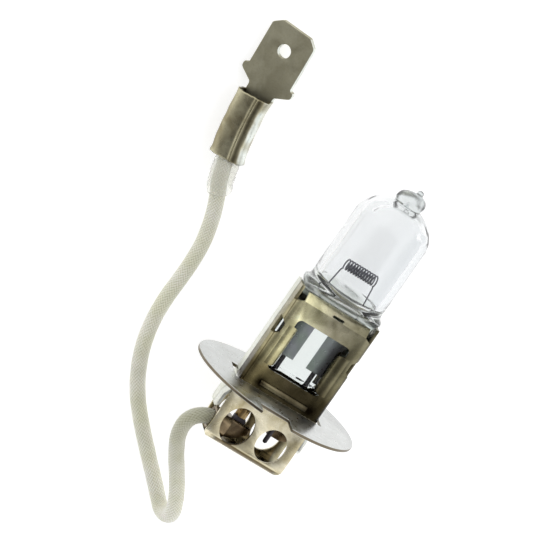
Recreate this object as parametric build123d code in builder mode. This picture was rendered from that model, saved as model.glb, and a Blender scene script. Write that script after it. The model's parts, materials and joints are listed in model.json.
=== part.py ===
from build123d import *
import os
from math import cos, pi, radians, sin, tan

# Halogen headlight bulb with a 22 mm locating flange, a pressed cap and a short fly lead.
# Millimetres. The origin is the centre of the flange's glass-side face, on the lamp's axis.
# The glass points to -Y, the windowed front faces +Z and the lead leaves towards +X.
# "Height" below means the distance along the axis from the flange towards the glass tip.

os.makedirs("parts", exist_ok=True)

# ---- driving dimensions ----
flange_radius = 11.0
flange_thickness = 0.4
notch_width = 4.0
notch_bottom = 7.9
notch_x = 1.3

sheet = 0.4
cap_half_width = 5.55
cap_half_depth = 2.5
cap_corner = 0.9
cap_height = 12.0
ear_height = 13.4
ear_reach = 1.7
seam_gap = 0.05
skirt_outer_x = 6.0
skirt_bend = (1.8, 2.8)
skirt_drop = 4.7
skirt_half_depth = 1.9
skirt_corner = 0.7
slot_half_width = 6.1

window_half_width = 3.7
window_bottom = 2.75
window_top = 9.85
window_corner = 0.6
tongue_bottom = 3.3
tongue_top = 8.4
tongue_reach = 0.8
side_notch_bottom = 6.6
side_notch_top = 9.0
side_notch_x = 4.8
side_notch_slope = 0.6
side_notch_floor = 1.3
lip_half_width = 4.4
lip_top = 13.1
lip_lean = 0.45
lip_slot_x = -0.3
lip_slot = (1.6, 0.35)
fold_overlap = 0.1
fold_edge = 0.25
bead_height = 0.85
bead_half_length = 3.3
bead_radius = 0.45

box_half_width = 5.4
box_depth = 8.5
box_bend = 1.6
box_corner = 1.1
opening_height = -5.3
opening_x = 2.4
lead_opening = (2.0, 2.5)
earth_opening = (1.9, 2.2)

glass_radius = 4.95
glass_wall = 0.9
dome_start = 24.0
dome_rise = 4.0
shoulder_bottom = 13.15
shoulder_top = 14.8
cavity_bottom = 14.0
cavity_start = 15.7
pinch_bottom = 2.9
pinch_half_width = 5.0
pinch_half_depth = 1.55
pinch_corner = 1.2
tip_bottom = 27.0
tip_radius = 1.85
tip_top = 30.1
tip_bead = [(1.75, 28.2), (1.15, 29.2), (0.4, 29.7), (0.25, 29.95)]

coil_height = 18.0
coil_half_length = 2.15
coil_radius = 0.65
coil_wire = 0.24
coil_turns = 12
leg_wire = 0.25
leg_foot_x = 2.65
leg_foot_height = 13.3

foil_inner = 0.95
foil_width = 2.3
foil_bottom = 4.7
foil_top = 10.5
foil_thickness = 0.1
pin_x = 2.15
pin_wire = 0.6
live_pin_end = -4.6
earth_pin_end = -5.9

ferrule_radius = 0.75
ferrule_top = -3.3
lead_y = 6.5
link_depth = 0.5
link_bottom = -5.2
crimp_depth = 1.6
crimp_corner = 0.3
clamp_inner_x = 2.9
clamp_outer_x = 5.2
clamp_size = (2.8, 3.2)
clamp_corner = 0.9
socket_x = 4.0
tab_top = -3.4
tab_bottom = -4.9

lead_diameter = 2.0
core_diameter = 1.2
sleeve_diameter = 3.0
sleeve_length = 4.0
arc_share = 0.45

blade_half_width = 3.15
blade_length = 6.7
blade_thickness = 0.8
blade_lead_in = (1.2, 1.0)
blade_hole_radius = 0.85
blade_hole_reach = 3.6
tab_half_width = 3.75
tab_depth = 0.9
neck_half_width = 1.85
neck_length = 2.6
neck_overlap = 0.5
shoulder_reach = 1.8
barrel_length = 8.3
barrel_half_width = 2.15
barrel_height = 2.9
corner_width = 1.85
wing_width = 1.2
wing_drop = 0.45
valley_x = 0.45
valley_depth = 0.75
barrel_entry = 1.9
straight_entry = 2.0
terminal_origin = (20.5, -30.7, -8.45)
terminal_yaw = 4.9
terminal_pitch = 5.0
terminal_roll = 33.0
barrel_bend = 5.65


# ---- planes ----
def across(height):
    """A plane square to the lamp's axis: local x is X, local y is Z, its normal points to the glass."""
    return Plane.XZ.offset(height)


def facing(depth):
    """A plane parallel to the front: local x is X, local y is the height, its normal points to the back."""
    return Plane(origin=(0, 0, depth), x_dir=(1, 0, 0), z_dir=(0, 0, -1))


def dome(radius, base, rise):
    """The half outline of a dome of elliptical section, from its rim at the base to the axis."""
    points = [(radius * cos(radians(turn)), base + rise * sin(radians(turn))) for turn in (0, 30, 60, 90)]
    Spline(*points, tangents=((0, rise), (-1, 0)))


def save(part, name):
    part.label = name
    export_step(part, f"parts/{name}.step")


# ---- inside the glass: coil, legs, foils and lead-in pins ----
coil_length = 2 * coil_half_length
with BuildPart() as coil:
    with BuildLine() as coil_line:
        Helix(coil_length / coil_turns, coil_length, coil_radius, (-coil_half_length, 0, 0), (1, 0, 0))
    with BuildSketch(Plane(origin=coil_line.line @ 0, z_dir=coil_line.line % 0)):
        Circle(coil_wire / 2)
    sweep(path=coil_line.line, is_frenet=True)

# turned so that both ends of the wire come down to the legs
with BuildPart() as filament:
    with Locations((0, -coil_height, 0)):
        add(coil.part, rotation=(-90, 0, 0))
save(filament.part, "filament")


def make_leg(side):
    top = coil_height - coil_radius - coil_wire / 2
    with BuildPart() as leg:
        with BuildLine() as leg_line:
            Polyline(
                (side * coil_half_length, -top, 0),
                (side * leg_foot_x, -leg_foot_height, 0),
                (side * pin_x, -foil_top, 0),
            )
        with BuildSketch(Plane(origin=leg_line.line @ 0, z_dir=leg_line.line % 0)):
            Circle(leg_wire / 2)
        sweep(path=leg_line.line, transition=Transition.RIGHT)
    return leg.part


def make_foil(side):
    with BuildPart() as foil:
        with BuildSketch(facing(foil_thickness / 2)):
            with Locations((side * (foil_inner + foil_width / 2), (foil_bottom + foil_top) / 2)):
                Rectangle(foil_width, foil_top - foil_bottom)
        extrude(amount=foil_thickness)
    return foil.part


def make_pin(side, end):
    with BuildPart() as pin:
        with BuildSketch(across(foil_bottom)):
            with Locations((side * pin_x, 0)):
                Circle(pin_wire / 2)
        extrude(amount=end - foil_bottom)
        chamfer(pin.faces().sort_by(Axis.Y)[-1].edges(), pin_wire / 4)
    return pin.part


live, earth = 1, -1
inserts = {
    "filament_leg_live": make_leg(live),
    "filament_leg_earth": make_leg(earth),
    "foil_live": make_foil(live),
    "foil_earth": make_foil(earth),
    "pin_live": make_pin(live, live_pin_end),
    "pin_earth": make_pin(earth, earth_pin_end),
}
for name, insert in inserts.items():
    save(insert, name)

# ---- glass bulb: a round tube with a domed end, pinched flat at the bottom ----
with BuildPart() as glass_bulb:
    with BuildSketch(facing(0)):
        with BuildLine():
            Line((0, shoulder_top), (glass_radius, shoulder_top))
            Line((glass_radius, shoulder_top), (glass_radius, dome_start))
            dome(glass_radius, dome_start, dome_rise)
            Line((0, dome_start + dome_rise), (0, shoulder_top))
        make_face()
    revolve(axis=Axis.Y)
    # the sealed exhaust tip
    with BuildSketch(facing(0)):
        with BuildLine():
            Line((0, tip_bottom), (tip_radius, tip_bottom))
            Spline((tip_radius, tip_bottom), *tip_bead, (0, tip_top))
            Line((0, tip_top), (0, tip_bottom))
        make_face()
    revolve(axis=Axis.Y)
    # the shoulder swells from the flat pinch to the round tube
    with BuildSketch(across(shoulder_bottom)):
        Ellipse(pinch_half_width, pinch_half_depth)
    with BuildSketch(across(shoulder_top)):
        Circle(glass_radius)
    loft()
    with BuildSketch(across(pinch_bottom)):
        RectangleRounded(2 * pinch_half_width, 2 * pinch_half_depth, pinch_corner)
    extrude(amount=shoulder_bottom - pinch_bottom)
    # the gas space
    inner_radius = glass_radius - glass_wall
    with BuildSketch(facing(0)):
        with BuildLine():
            dome(inner_radius, cavity_start, cavity_bottom - cavity_start)
            Line((inner_radius, cavity_start), (inner_radius, dome_start))
            dome(inner_radius, dome_start, dome_rise - glass_wall)
            Line((0, dome_start + dome_rise - glass_wall), (0, cavity_bottom))
        make_face()
    revolve(axis=Axis.Y, mode=Mode.SUBTRACT)
    for insert in inserts.values():
        add(insert, mode=Mode.SUBTRACT)
save(glass_bulb.part, "glass_bulb")

# ---- cap: two pressed sheet shells clasp the pinch ----
cap_inside = (2 * (cap_half_width - sheet), 2 * (cap_half_depth - sheet), cap_corner - sheet)
front_half = (4 * cap_half_width, 2 * cap_half_depth)
# both side walls run down through the flange's slot and are bent outwards below it
skirt_top = 0.5
with BuildPart() as skirts:
    with BuildSketch(facing(skirt_half_depth)):
        for side in (live, earth):
            with BuildLine():
                Polyline(
                    (side * (cap_half_width - sheet), skirt_top),
                    (side * cap_half_width, skirt_top),
                    (side * cap_half_width, -skirt_bend[0]),
                    (side * skirt_outer_x, -skirt_bend[1]),
                    (side * skirt_outer_x, -skirt_drop),
                    (side * (skirt_outer_x - sheet), -skirt_drop),
                    (side * (skirt_outer_x - sheet), -skirt_bend[1]),
                    (side * (cap_half_width - sheet), -skirt_bend[0]),
                    close=True,
                )
            make_face()
    extrude(amount=skirt_half_depth - seam_gap)
    with BuildSketch(Plane.YZ.offset(-skirt_outer_x)):
        RectangleRounded(2 * skirt_drop, 2 * skirt_half_depth, skirt_corner)
    extrude(amount=2 * skirt_outer_x, mode=Mode.INTERSECT)

with BuildPart() as shell_blank:
    with BuildSketch(across(0)):
        RectangleRounded(2 * cap_half_width, 2 * cap_half_depth, cap_corner)
        RectangleRounded(*cap_inside, mode=Mode.SUBTRACT)
        with Locations((0, seam_gap)):
            Rectangle(*front_half, align=(Align.CENTER, Align.MIN), mode=Mode.INTERSECT)
    extrude(amount=ear_height)
    add(skirts.part)
    # the wall ends below the side ears, with sloping corners
    past_side = cap_half_width + 1
    with BuildSketch(facing(cap_half_depth + sheet)):
        with BuildLine():
            Polyline(
                (-past_side, cap_height - 1),
                (-lip_half_width, cap_height),
                (lip_half_width, cap_height),
                (past_side, cap_height - 1),
                (past_side, ear_height + 1),
                (-past_side, ear_height + 1),
                close=True,
            )
        make_face()
    extrude(amount=cap_half_depth + sheet - ear_reach, mode=Mode.SUBTRACT)
    with BuildSketch(facing(cap_half_depth + sheet)):
        with Locations((0, (window_bottom + window_top) / 2)):
            RectangleRounded(2 * window_half_width, window_top - window_bottom, window_corner)
    extrude(amount=cap_half_depth + sheet - seam_gap, mode=Mode.SUBTRACT)
    # the lip bent in over the pinch, with a small locking slot in its fold
    with BuildSketch(Plane.YZ.offset(-lip_half_width)):
        with BuildLine():
            Polyline(
                (-cap_height, cap_half_depth - sheet),
                (-cap_height, cap_half_depth),
                (-lip_top, cap_half_depth - lip_lean),
                (-lip_top, cap_half_depth - lip_lean - sheet),
                close=True,
            )
        make_face()
    extrude(amount=2 * lip_half_width)
    with BuildSketch(facing(cap_half_depth + sheet)):
        with Locations((lip_slot_x, (cap_height + lip_top) / 2 - lip_slot[1])):
            SlotOverall(*lip_slot)
    extrude(amount=2 * sheet + lip_lean, mode=Mode.SUBTRACT)
    # the window's side edges, folded in
    tongue_root = window_half_width + fold_overlap
    tongue_tip = window_half_width - tongue_reach / 2
    tongue_depth = cap_half_depth - tongue_reach
    with BuildSketch(across(tongue_bottom)):
        for side in (live, earth):
            with BuildLine():
                Polyline(
                    (side * tongue_root, cap_half_depth),
                    (side * tongue_root, cap_half_depth - sheet),
                    (side * tongue_tip, tongue_depth),
                    (side * (tongue_tip - fold_edge), tongue_depth + fold_edge),
                    close=True,
                )
            make_face()
    extrude(amount=tongue_top - tongue_bottom)
    # a pressed bead runs across the foot of the wall
    with BuildSketch(Plane.YZ.offset(-bead_half_length)):
        with Locations((-bead_height, cap_half_depth - sheet / 4)):
            Circle(bead_radius)
        with Locations((-bead_height, cap_half_depth - sheet / 2)):
            Rectangle(2 * bead_radius, 2 * bead_radius, align=(Align.CENTER, Align.MIN), mode=Mode.INTERSECT)
    extrude(amount=2 * bead_half_length)

# only the front half has the notches in its two side edges
with BuildPart() as front_shell:
    add(shell_blank.part)
    with BuildSketch(facing(cap_half_depth + sheet)):
        for side in (live, earth):
            with BuildLine():
                Polyline(
                    (side * (cap_half_width + sheet), side_notch_bottom - side_notch_slope / 2),
                    (side * side_notch_x, side_notch_bottom + side_notch_slope),
                    (side * side_notch_x, side_notch_top - side_notch_slope),
                    (side * (cap_half_width + sheet), side_notch_top + side_notch_slope / 2),
                    close=True,
                )
            make_face()
    extrude(amount=cap_half_depth + sheet - side_notch_floor, mode=Mode.SUBTRACT)
save(front_shell.part, "front_shell")

with BuildPart() as rear_shell:
    mirror(shell_blank.part, about=Plane.XY)
save(rear_shell.part, "rear_shell")

# ---- locating flange ----
with BuildPart() as flange_ring:
    with BuildSketch(across(-flange_thickness)):
        Circle(flange_radius)
        Rectangle(2 * slot_half_width, 2 * cap_half_depth, mode=Mode.SUBTRACT)
        with Locations((notch_x, notch_bottom)):
            Rectangle(notch_width, 2 * flange_radius, align=(Align.CENTER, Align.MIN), mode=Mode.SUBTRACT)
    extrude(amount=flange_thickness)
save(flange_ring.part, "flange_ring")

# ---- base strap: a sheet bent into a U under the flange, open at both sides ----
with BuildPart() as base_strap:
    bottom_up = (Align.MAX, Align.CENTER)
    gap = 2 * (cap_half_depth - sheet)
    with BuildSketch(Plane.YZ.offset(-box_half_width)):
        with Locations((box_depth, 0)):
            RectangleRounded(2 * box_depth, 2 * cap_half_depth, box_bend, align=bottom_up)
        with Locations((box_depth - sheet, 0)):
            RectangleRounded(2 * box_depth, gap, box_bend - sheet, align=bottom_up, mode=Mode.SUBTRACT)
        Rectangle(box_depth, 4 * cap_half_depth, align=(Align.MIN, Align.CENTER), mode=Mode.INTERSECT)
    extrude(amount=2 * box_half_width)
    # rounded lower corners
    with BuildSketch(facing(cap_half_depth + sheet)):
        with Locations((0, -box_depth)):
            outline = (2 * box_half_width, 3 * box_depth, box_corner)
            Rectangle(4 * box_half_width, 2 * box_depth, align=(Align.CENTER, Align.MIN))
            RectangleRounded(*outline, align=(Align.CENTER, Align.MIN), mode=Mode.SUBTRACT)
    extrude(amount=2 * (cap_half_depth + sheet), mode=Mode.SUBTRACT)
    # an oval opening in front of each contact, through both walls
    with BuildSketch(facing(cap_half_depth + sheet)):
        with Locations((opening_x, opening_height)):
            Ellipse(*lead_opening)
        with Locations((-opening_x, opening_height)):
            Ellipse(*earth_opening)
    extrude(amount=2 * (cap_half_depth + sheet), mode=Mode.SUBTRACT)
save(base_strap.part, "base_strap")

# ---- contacts inside the strap ----
with BuildPart() as live_ferrule:
    with BuildSketch(across(live_pin_end)):
        with Locations((pin_x, 0)):
            Circle(ferrule_radius)
            Circle(pin_wire / 2, mode=Mode.SUBTRACT)
    extrude(amount=ferrule_top - live_pin_end)
save(live_ferrule.part, "live_ferrule")

with BuildPart() as live_strap:
    with BuildSketch(facing(link_depth / 2)):
        with BuildLine():
            Polyline(
                (pin_x - ferrule_radius, live_pin_end),
                (clamp_inner_x, live_pin_end),
                (clamp_inner_x, link_bottom),
                (pin_x - 1.3 * ferrule_radius, link_bottom),
                (pin_x - 1.3 * ferrule_radius, (live_pin_end + link_bottom) / 2),
                close=True,
            )
        make_face()
    extrude(amount=link_depth)
save(live_strap.part, "live_strap")

with BuildPart() as conductor_crimp:
    crimp_end_x = crimp_corner
    with BuildSketch(facing(crimp_depth / 2)):
        with BuildLine():
            Polyline(
                (clamp_inner_x, link_bottom),
                (clamp_inner_x, link_bottom - 2.5),
                (crimp_end_x + 1.2, link_bottom - 2.1),
                (crimp_end_x, link_bottom - 0.8),
                (crimp_end_x, link_bottom),
                close=True,
            )
        make_face()
    extrude(amount=crimp_depth)
    fillet(conductor_crimp.edges().filter_by(Axis.X), crimp_corner)
save(conductor_crimp.part, "conductor_crimp")

with BuildPart() as lead_clamp:
    with BuildSketch(Plane.YZ.offset(clamp_inner_x)):
        with Locations((lead_y, 0)):
            RectangleRounded(*clamp_size, clamp_corner)
    extrude(amount=clamp_outer_x - clamp_inner_x)
    # the lead's socket, open on the outer side
    with BuildSketch(Plane.YZ.offset(clamp_outer_x)):
        with Locations((lead_y, 0)):
            Circle(lead_diameter / 2)
    extrude(amount=socket_x - clamp_outer_x, mode=Mode.SUBTRACT)
save(lead_clamp.part, "lead_clamp")

with BuildPart() as earth_tab:
    with BuildSketch(facing(-pin_wire / 2)):
        with BuildLine():
            Polyline(
                (pin_wire / 2 - pin_x, tab_top),
                (0.9 - box_half_width, tab_top),
                (0.9 - box_half_width, tab_bottom + 0.3),
                (1.8 - box_half_width, tab_bottom),
                (pin_wire / 2 - pin_x, tab_bottom),
                close=True,
            )
        make_face()
    extrude(amount=cap_half_depth - sheet - pin_wire / 2)
save(earth_tab.part, "earth_tab")

# ---- blade terminal: a doubled sheet blade with a folded crimp barrel ----
yaw, pitch, roll = (radians(angle) for angle in (terminal_yaw, terminal_pitch, terminal_roll))
ahead = Vector(sin(yaw) * cos(pitch), -cos(yaw) * cos(pitch), sin(pitch))
level = Vector(-cos(yaw), -sin(yaw), 0)
lifted = level.cross(ahead)
blade_side = level * cos(roll) + lifted * sin(roll)
blade_normal = lifted * cos(roll) - level * sin(roll)
blade_plane = Plane(origin=terminal_origin, x_dir=blade_side, z_dir=blade_normal)
neck_end = Vector(*terminal_origin) - ahead * neck_length
barrel_ahead = ahead * cos(radians(barrel_bend)) - blade_side * sin(radians(barrel_bend))
barrel_side = blade_side * cos(radians(barrel_bend)) + ahead * sin(radians(barrel_bend))
barrel_rise = barrel_height / 2 - blade_thickness / 2
barrel_mouth = neck_end - barrel_ahead * barrel_length + blade_normal * barrel_rise
mouth_plane = Plane(origin=barrel_mouth, x_dir=barrel_side, z_dir=barrel_ahead)

with BuildPart() as blade_terminal:
    half_outline = [
        (neck_half_width, -neck_length - neck_overlap),
        (neck_half_width, -shoulder_reach),
        (tab_half_width, -tab_depth),
        (tab_half_width, 0),
        (blade_half_width, 0),
        (blade_half_width, blade_length - blade_lead_in[1]),
        (blade_half_width - blade_lead_in[0], blade_length),
    ]
    with BuildSketch(blade_plane.offset(-blade_thickness / 2)):
        with BuildLine():
            Polyline(*half_outline, *[(-x, y) for x, y in reversed(half_outline)], close=True)
        make_face()
        with Locations((0, blade_hole_reach)):
            Circle(blade_hole_radius, mode=Mode.SUBTRACT)
    extrude(amount=blade_thickness)
    # the barrel: two wings rolled over, with a valley where they meet
    half_height = barrel_height / 2
    with BuildSketch(mouth_plane):
        with BuildLine():
            Polyline(
                (valley_x, valley_depth - half_height),
                (0, -half_height),
                (-wing_width, -half_height),
                (-corner_width, wing_drop - half_height),
                (-barrel_half_width, 0),
                (-corner_width, half_height),
                (corner_width, half_height),
                (barrel_half_width, 0),
                (corner_width, wing_drop - half_height),
                (wing_width, -half_height),
                close=True,
            )
        make_face()
    extrude(amount=barrel_length)
    with BuildSketch(mouth_plane):
        Circle(lead_diameter / 2)
    extrude(amount=barrel_entry, mode=Mode.SUBTRACT)
save(blade_terminal.part, "blade_terminal")

# ---- the fly lead: a stranded core in a glass-fibre braid ----
barrel_corner = barrel_mouth - barrel_ahead * straight_entry
barrel_seat = barrel_mouth + barrel_ahead * barrel_entry
lead_route = [
    (4.0, 6.5, 0.0),
    (5.4, 6.5, 0.0),
    (6.6, 7.2, -0.1),
    (7.3, 8.6, -0.5),
    (6.8, 10.9, -1.6),
    (5.2, 13.4, -3.0),
    (3.1, 16.1, -4.4),
    (1.3, 18.7, -5.5),
    (0.2, 21.0, -6.3),
    (0.3, 22.0, -7.6),
    (0.9, 22.2, -9.0),
    (1.8, 21.3, -10.0),
    (3.7, 19.4, -10.0),
    (6.6, 16.6, -10.0),
    (9.3, 13.9, -10.0),
    (11.7, 11.1, -10.0),
    (13.8, 7.4, -10.0),
    (15.0, 3.5, -10.0),
    (15.4, -0.5, -10.0),
    (15.2, -4.5, -10.0),
    (15.3, -8.4, -10.0),
    (16.0, -11.6, -9.9),
    (17.3, -14.7, -9.1),
    tuple(barrel_corner),
    tuple(barrel_seat),
]


def corner_radii(route):
    """Each corner's arc takes up arc_share of its shorter run."""
    points = [Vector(*point) for point in route]
    runs = [end - start for start, end in zip(points, points[1:])]
    radii = []
    for before, after in zip(runs, runs[1:]):
        half_turn = radians(before.get_angle(after)) / 2
        radii.append(arc_share * min(before.length, after.length) / tan(half_turn))
    return radii


lead_radii = corner_radii(lead_route)
print("lead radii", [round(radius, 1) for radius in lead_radii])


def make_tube(route, radii, outer, inner):
    with BuildPart() as tube:
        with BuildLine() as tube_line:
            FilletPolyline(*route, radius=radii)
        with BuildSketch(Plane(origin=tube_line.line @ 0, z_dir=tube_line.line % 0)):
            Circle(outer / 2)
            if inner:
                Circle(inner / 2, mode=Mode.SUBTRACT)
        sweep(path=tube_line.line)
    length = sum(edge.length for edge in tube_line.line.edges())
    section = pi * (outer**2 - inner**2) / 4
    print("tube length", round(length, 2))
    print("volume over section times length", round(tube.part.volume / (section * length), 4))
    return tube.part


save(make_tube(lead_route, lead_radii, lead_diameter, core_diameter), "lead_braid")
save(make_tube(lead_route, lead_radii, core_diameter, 0), "lead_core")

# the sleeve follows the lead's last bend out of the barrel
bend_start = Vector(*lead_route[-3])
last_run = (bend_start - barrel_corner).normalized()
sleeve_route = [
    tuple(barrel_mouth),
    tuple(barrel_corner),
    tuple(barrel_corner + last_run * (sleeve_length - straight_entry)),
]
save(make_tube(sleeve_route, [lead_radii[-1]], sleeve_diameter, lead_diameter), "end_sleeve")
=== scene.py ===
import json
import math

import bmesh
import bpy
from mathutils import Matrix, Vector, noise


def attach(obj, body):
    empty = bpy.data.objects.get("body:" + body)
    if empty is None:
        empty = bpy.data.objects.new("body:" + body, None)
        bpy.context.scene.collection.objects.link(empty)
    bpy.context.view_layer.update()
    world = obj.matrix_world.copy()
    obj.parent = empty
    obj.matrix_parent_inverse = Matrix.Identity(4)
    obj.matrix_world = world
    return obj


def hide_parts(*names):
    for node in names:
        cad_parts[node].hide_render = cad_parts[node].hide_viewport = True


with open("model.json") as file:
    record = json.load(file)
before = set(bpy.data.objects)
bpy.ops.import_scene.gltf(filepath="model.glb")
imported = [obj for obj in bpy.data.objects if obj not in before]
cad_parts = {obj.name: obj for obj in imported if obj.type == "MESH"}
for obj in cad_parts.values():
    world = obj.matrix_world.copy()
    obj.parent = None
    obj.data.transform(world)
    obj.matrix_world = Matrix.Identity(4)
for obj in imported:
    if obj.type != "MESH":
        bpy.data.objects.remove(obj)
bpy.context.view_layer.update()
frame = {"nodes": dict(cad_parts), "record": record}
nodes = frame["nodes"]

# The glass points to -Y, the cap's window faces +Z and the lead leaves the base towards +X.
# A height is the distance above the flange towards the glass, so it is -Y.
# Blender gets metres: lengths that aren't multiplied by MM yet are in millimetres.
MM = 0.001
FLOOR_Z = -11.0 * MM


# ---------------------------------------------------------------- camera
def make_camera():
    """A long lens from the front, the glass side and above, rolled so that the glass points up and right."""
    azimuth, elevation, roll = (math.radians(angle) for angle in (53.66, 70.63, 159.42))
    distance = 450 * MM
    back = Vector((
        math.sin(azimuth) * math.cos(elevation),
        -math.cos(azimuth) * math.cos(elevation),
        math.sin(elevation),
    ))
    right = Vector((math.cos(azimuth), math.sin(azimuth), 0))
    up = back.cross(right)
    turned_right = right * math.cos(roll) + up * math.sin(roll)
    turned_up = up * math.cos(roll) - right * math.sin(roll)
    aim_right, aim_up = -0.177, 14.216
    target = (turned_right * aim_right + turned_up * aim_up) * MM
    data = bpy.data.cameras.new("camera")
    data.sensor_width = 36
    data.lens = 246.87
    data.clip_start = 10 * MM
    data.clip_end = 5
    camera = bpy.data.objects.new("camera", data)
    axes = Matrix((turned_right, turned_up, back)).transposed()
    camera.matrix_world = Matrix.Translation(target + back * distance) @ axes.to_4x4()
    bpy.context.collection.objects.link(camera)
    bpy.context.scene.camera = camera


make_camera()


# ---------------------------------------------------------------- the blade's own axes
mounts = {mount["name"]: mount for mount in frame["record"]["mounts"]}
blade_ahead = Vector(mounts["blade"]["axis"])
blade_up = Vector(mounts["blade_hole"]["axis"])
blade_side = blade_ahead.cross(blade_up)


# ---------------------------------------------------------------- mesh helpers
def add_object(name, data, material):
    """A finished piece: linked, riding on the bulb's one body and with its material and slot."""
    piece = bpy.data.objects.new(name, data)
    bpy.context.collection.objects.link(piece)
    data.materials.clear()
    data.materials.append(material)
    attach(piece, "root")
    return piece


def loft(rings, flip=False):
    """A closed mesh through rings of equal count, each end closed by a fan to its centre."""
    count = len(rings[0])
    points = [point for ring in rings for point in ring]
    faces = []
    for row in range(len(rings) - 1):
        for column in range(count):
            after = (column + 1) % count
            faces.append((
                row * count + column,
                row * count + after,
                (row + 1) * count + after,
                (row + 1) * count + column,
            ))
    for row, order in ((0, -1), (len(rings) - 1, 1)):
        centre = sum(rings[row], Vector()) / count
        points.append(centre)
        for column in range(count):
            corner = (row * count + column, row * count + (column + 1) % count)
            faces.append((*corner[::order], len(points) - 1))
    if flip:
        faces = [face[::-1] for face in faces]
    return points, faces


def mesh_from(name, *parts):
    """One smooth mesh of several closed lofts."""
    points, faces = [], []
    for part_points, part_faces in parts:
        first = len(points)
        points += part_points
        faces += [tuple(index + first for index in face) for face in part_faces]
    data = bpy.data.meshes.new(name)
    data.from_pydata([tuple(point) for point in points], [], faces)
    data.validate()
    data.shade_smooth()
    return data


def set_attribute(data, name, values):
    """One value for each point of a mesh, which a material reads by its name."""
    data.attributes.new(name, "FLOAT", "POINT").data.foreach_set("value", values)


def ease(value):
    """A smooth step from 0 to 1."""
    value = min(max(value, 0.0), 1.0)
    return value * value * (3 - 2 * value)


def full_turn(count):
    """Evenly spaced angles, once all the way round."""
    return [2 * math.pi * step / count for step in range(count)]


# ---------------------------------------------------------------- materials
# what the colour ramps run over
HALF_CAP = 6.0
CAP_HEIGHT = 13.0
GLASS_HEIGHT = 30.0
LEAD_EXIT = (5.4, 6.5, 0.0)

# most of a noise texture's values lie between these
NOISE_LOW, NOISE_HIGH = 0.3, 0.7

# a Mix node's colour sockets, which share their names with its other sockets
MIX_FIRST, MIX_SECOND, MIX_RESULT = 6, 7, 2

# for the "inside" value: an open wall stays as it is, and an inner wall gets painted shade
INNER_WALL_SHADE = [(0.0, (1, 1, 1)), (1.0, (0.2, 0.17, 0.12))]
# along X, light comes in at a folded sheet's open ends, so its inner walls are paler there
OPEN_ENDS = [(0.04, (0.8, 0.8, 0.75)), (0.15, (0, 0, 0)), (0.8, (0, 0, 0)), (0.88, (1, 1, 1))]


def new_material(name, **inputs):
    """A material, its tree and its shader, with inputs set by name and _ for each space in it."""
    material = bpy.data.materials.new(name)
    material.use_nodes = True
    shader = material.node_tree.nodes["Principled BSDF"]
    for socket, value in inputs.items():
        shader.inputs[socket.replace("_", " ")].default_value = value
    return material, material.node_tree, shader


def add_noise(tree, grain, detail=4.0, distortion=0.0):
    """Noise whose features are about grain millimetres across."""
    place = tree.nodes.new("ShaderNodeTexCoord")
    mapping = tree.nodes.new("ShaderNodeMapping")
    mapping.inputs["Scale"].default_value = [1 / (MM * grain)] * 3
    texture = tree.nodes.new("ShaderNodeTexNoise")
    texture.inputs["Scale"].default_value = 1
    texture.inputs["Detail"].default_value = detail
    texture.inputs["Distortion"].default_value = distortion
    tree.links.new(place.outputs["Object"], mapping.inputs["Vector"])
    tree.links.new(mapping.outputs["Vector"], texture.inputs["Vector"])
    return texture.outputs["Fac"]


def add_ramp(tree, source, stops):
    """Colours by a value, each stop a position from 0 to 1 and its colour."""
    ramp = tree.nodes.new("ShaderNodeValToRGB")
    elements = ramp.color_ramp.elements
    while len(elements) < len(stops):
        elements.new(0.5)
    for element, (position, colour) in zip(elements, stops):
        element.position = position
        element.color = (*colour, 1)
    tree.links.new(source, ramp.inputs["Fac"])
    return ramp.outputs["Color"]


def ramp_between(tree, source, low, high, stops):
    """Colours by where a value lies between low and high."""
    share = tree.nodes.new("ShaderNodeMapRange")
    share.inputs["From Min"].default_value = low
    share.inputs["From Max"].default_value = high
    tree.links.new(source, share.inputs["Value"])
    return add_ramp(tree, share.outputs["Result"], stops)


def add_range(tree, source, low, high):
    """A value that wanders from low to high with a noise texture."""
    mapped = tree.nodes.new("ShaderNodeMapRange")
    mapped.inputs["From Min"].default_value = NOISE_LOW
    mapped.inputs["From Max"].default_value = NOISE_HIGH
    mapped.inputs["To Min"].default_value = low
    mapped.inputs["To Max"].default_value = high
    tree.links.new(source, mapped.inputs["Value"])
    return mapped.outputs["Result"]


def add_bumps(tree, shader, *layers):
    """Bump layers, each a height source and the depth in millimetres that it stands for."""
    normal = None
    for source, depth in layers:
        bump = tree.nodes.new("ShaderNodeBump")
        bump.inputs["Distance"].default_value = depth * MM
        bump.inputs["Strength"].default_value = 1
        tree.links.new(source, bump.inputs["Height"])
        if normal:
            tree.links.new(normal, bump.inputs["Normal"])
        normal = bump.outputs["Normal"]
    tree.links.new(normal, shader.inputs["Normal"])


def mixed(tree, blend, factor, first, second):
    """The second colour blended into the first."""
    mix = tree.nodes.new("ShaderNodeMix")
    mix.data_type = "RGBA"
    mix.blend_type = blend
    mix.inputs["Factor"].default_value = factor
    tree.links.new(first, mix.inputs[MIX_FIRST])
    tree.links.new(second, mix.inputs[MIX_SECOND])
    return mix.outputs[MIX_RESULT]


def coordinate(tree, axis):
    """The place of a surface point along X, Y or Z, in metres."""
    place = tree.nodes.new("ShaderNodeTexCoord")
    split = tree.nodes.new("ShaderNodeSeparateXYZ")
    tree.links.new(place.outputs["Object"], split.inputs["Vector"])
    return split.outputs[axis]


def add_wander(tree, source, grain, depth):
    """A length with 0 to depth millimetres added by noise."""
    wander = tree.nodes.new("ShaderNodeMath")
    wander.operation = "MULTIPLY_ADD"
    wander.inputs[1].default_value = depth * MM
    tree.links.new(add_noise(tree, grain, 3), wander.inputs[0])
    tree.links.new(source, wander.inputs[2])
    return wander.outputs[0]


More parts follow.
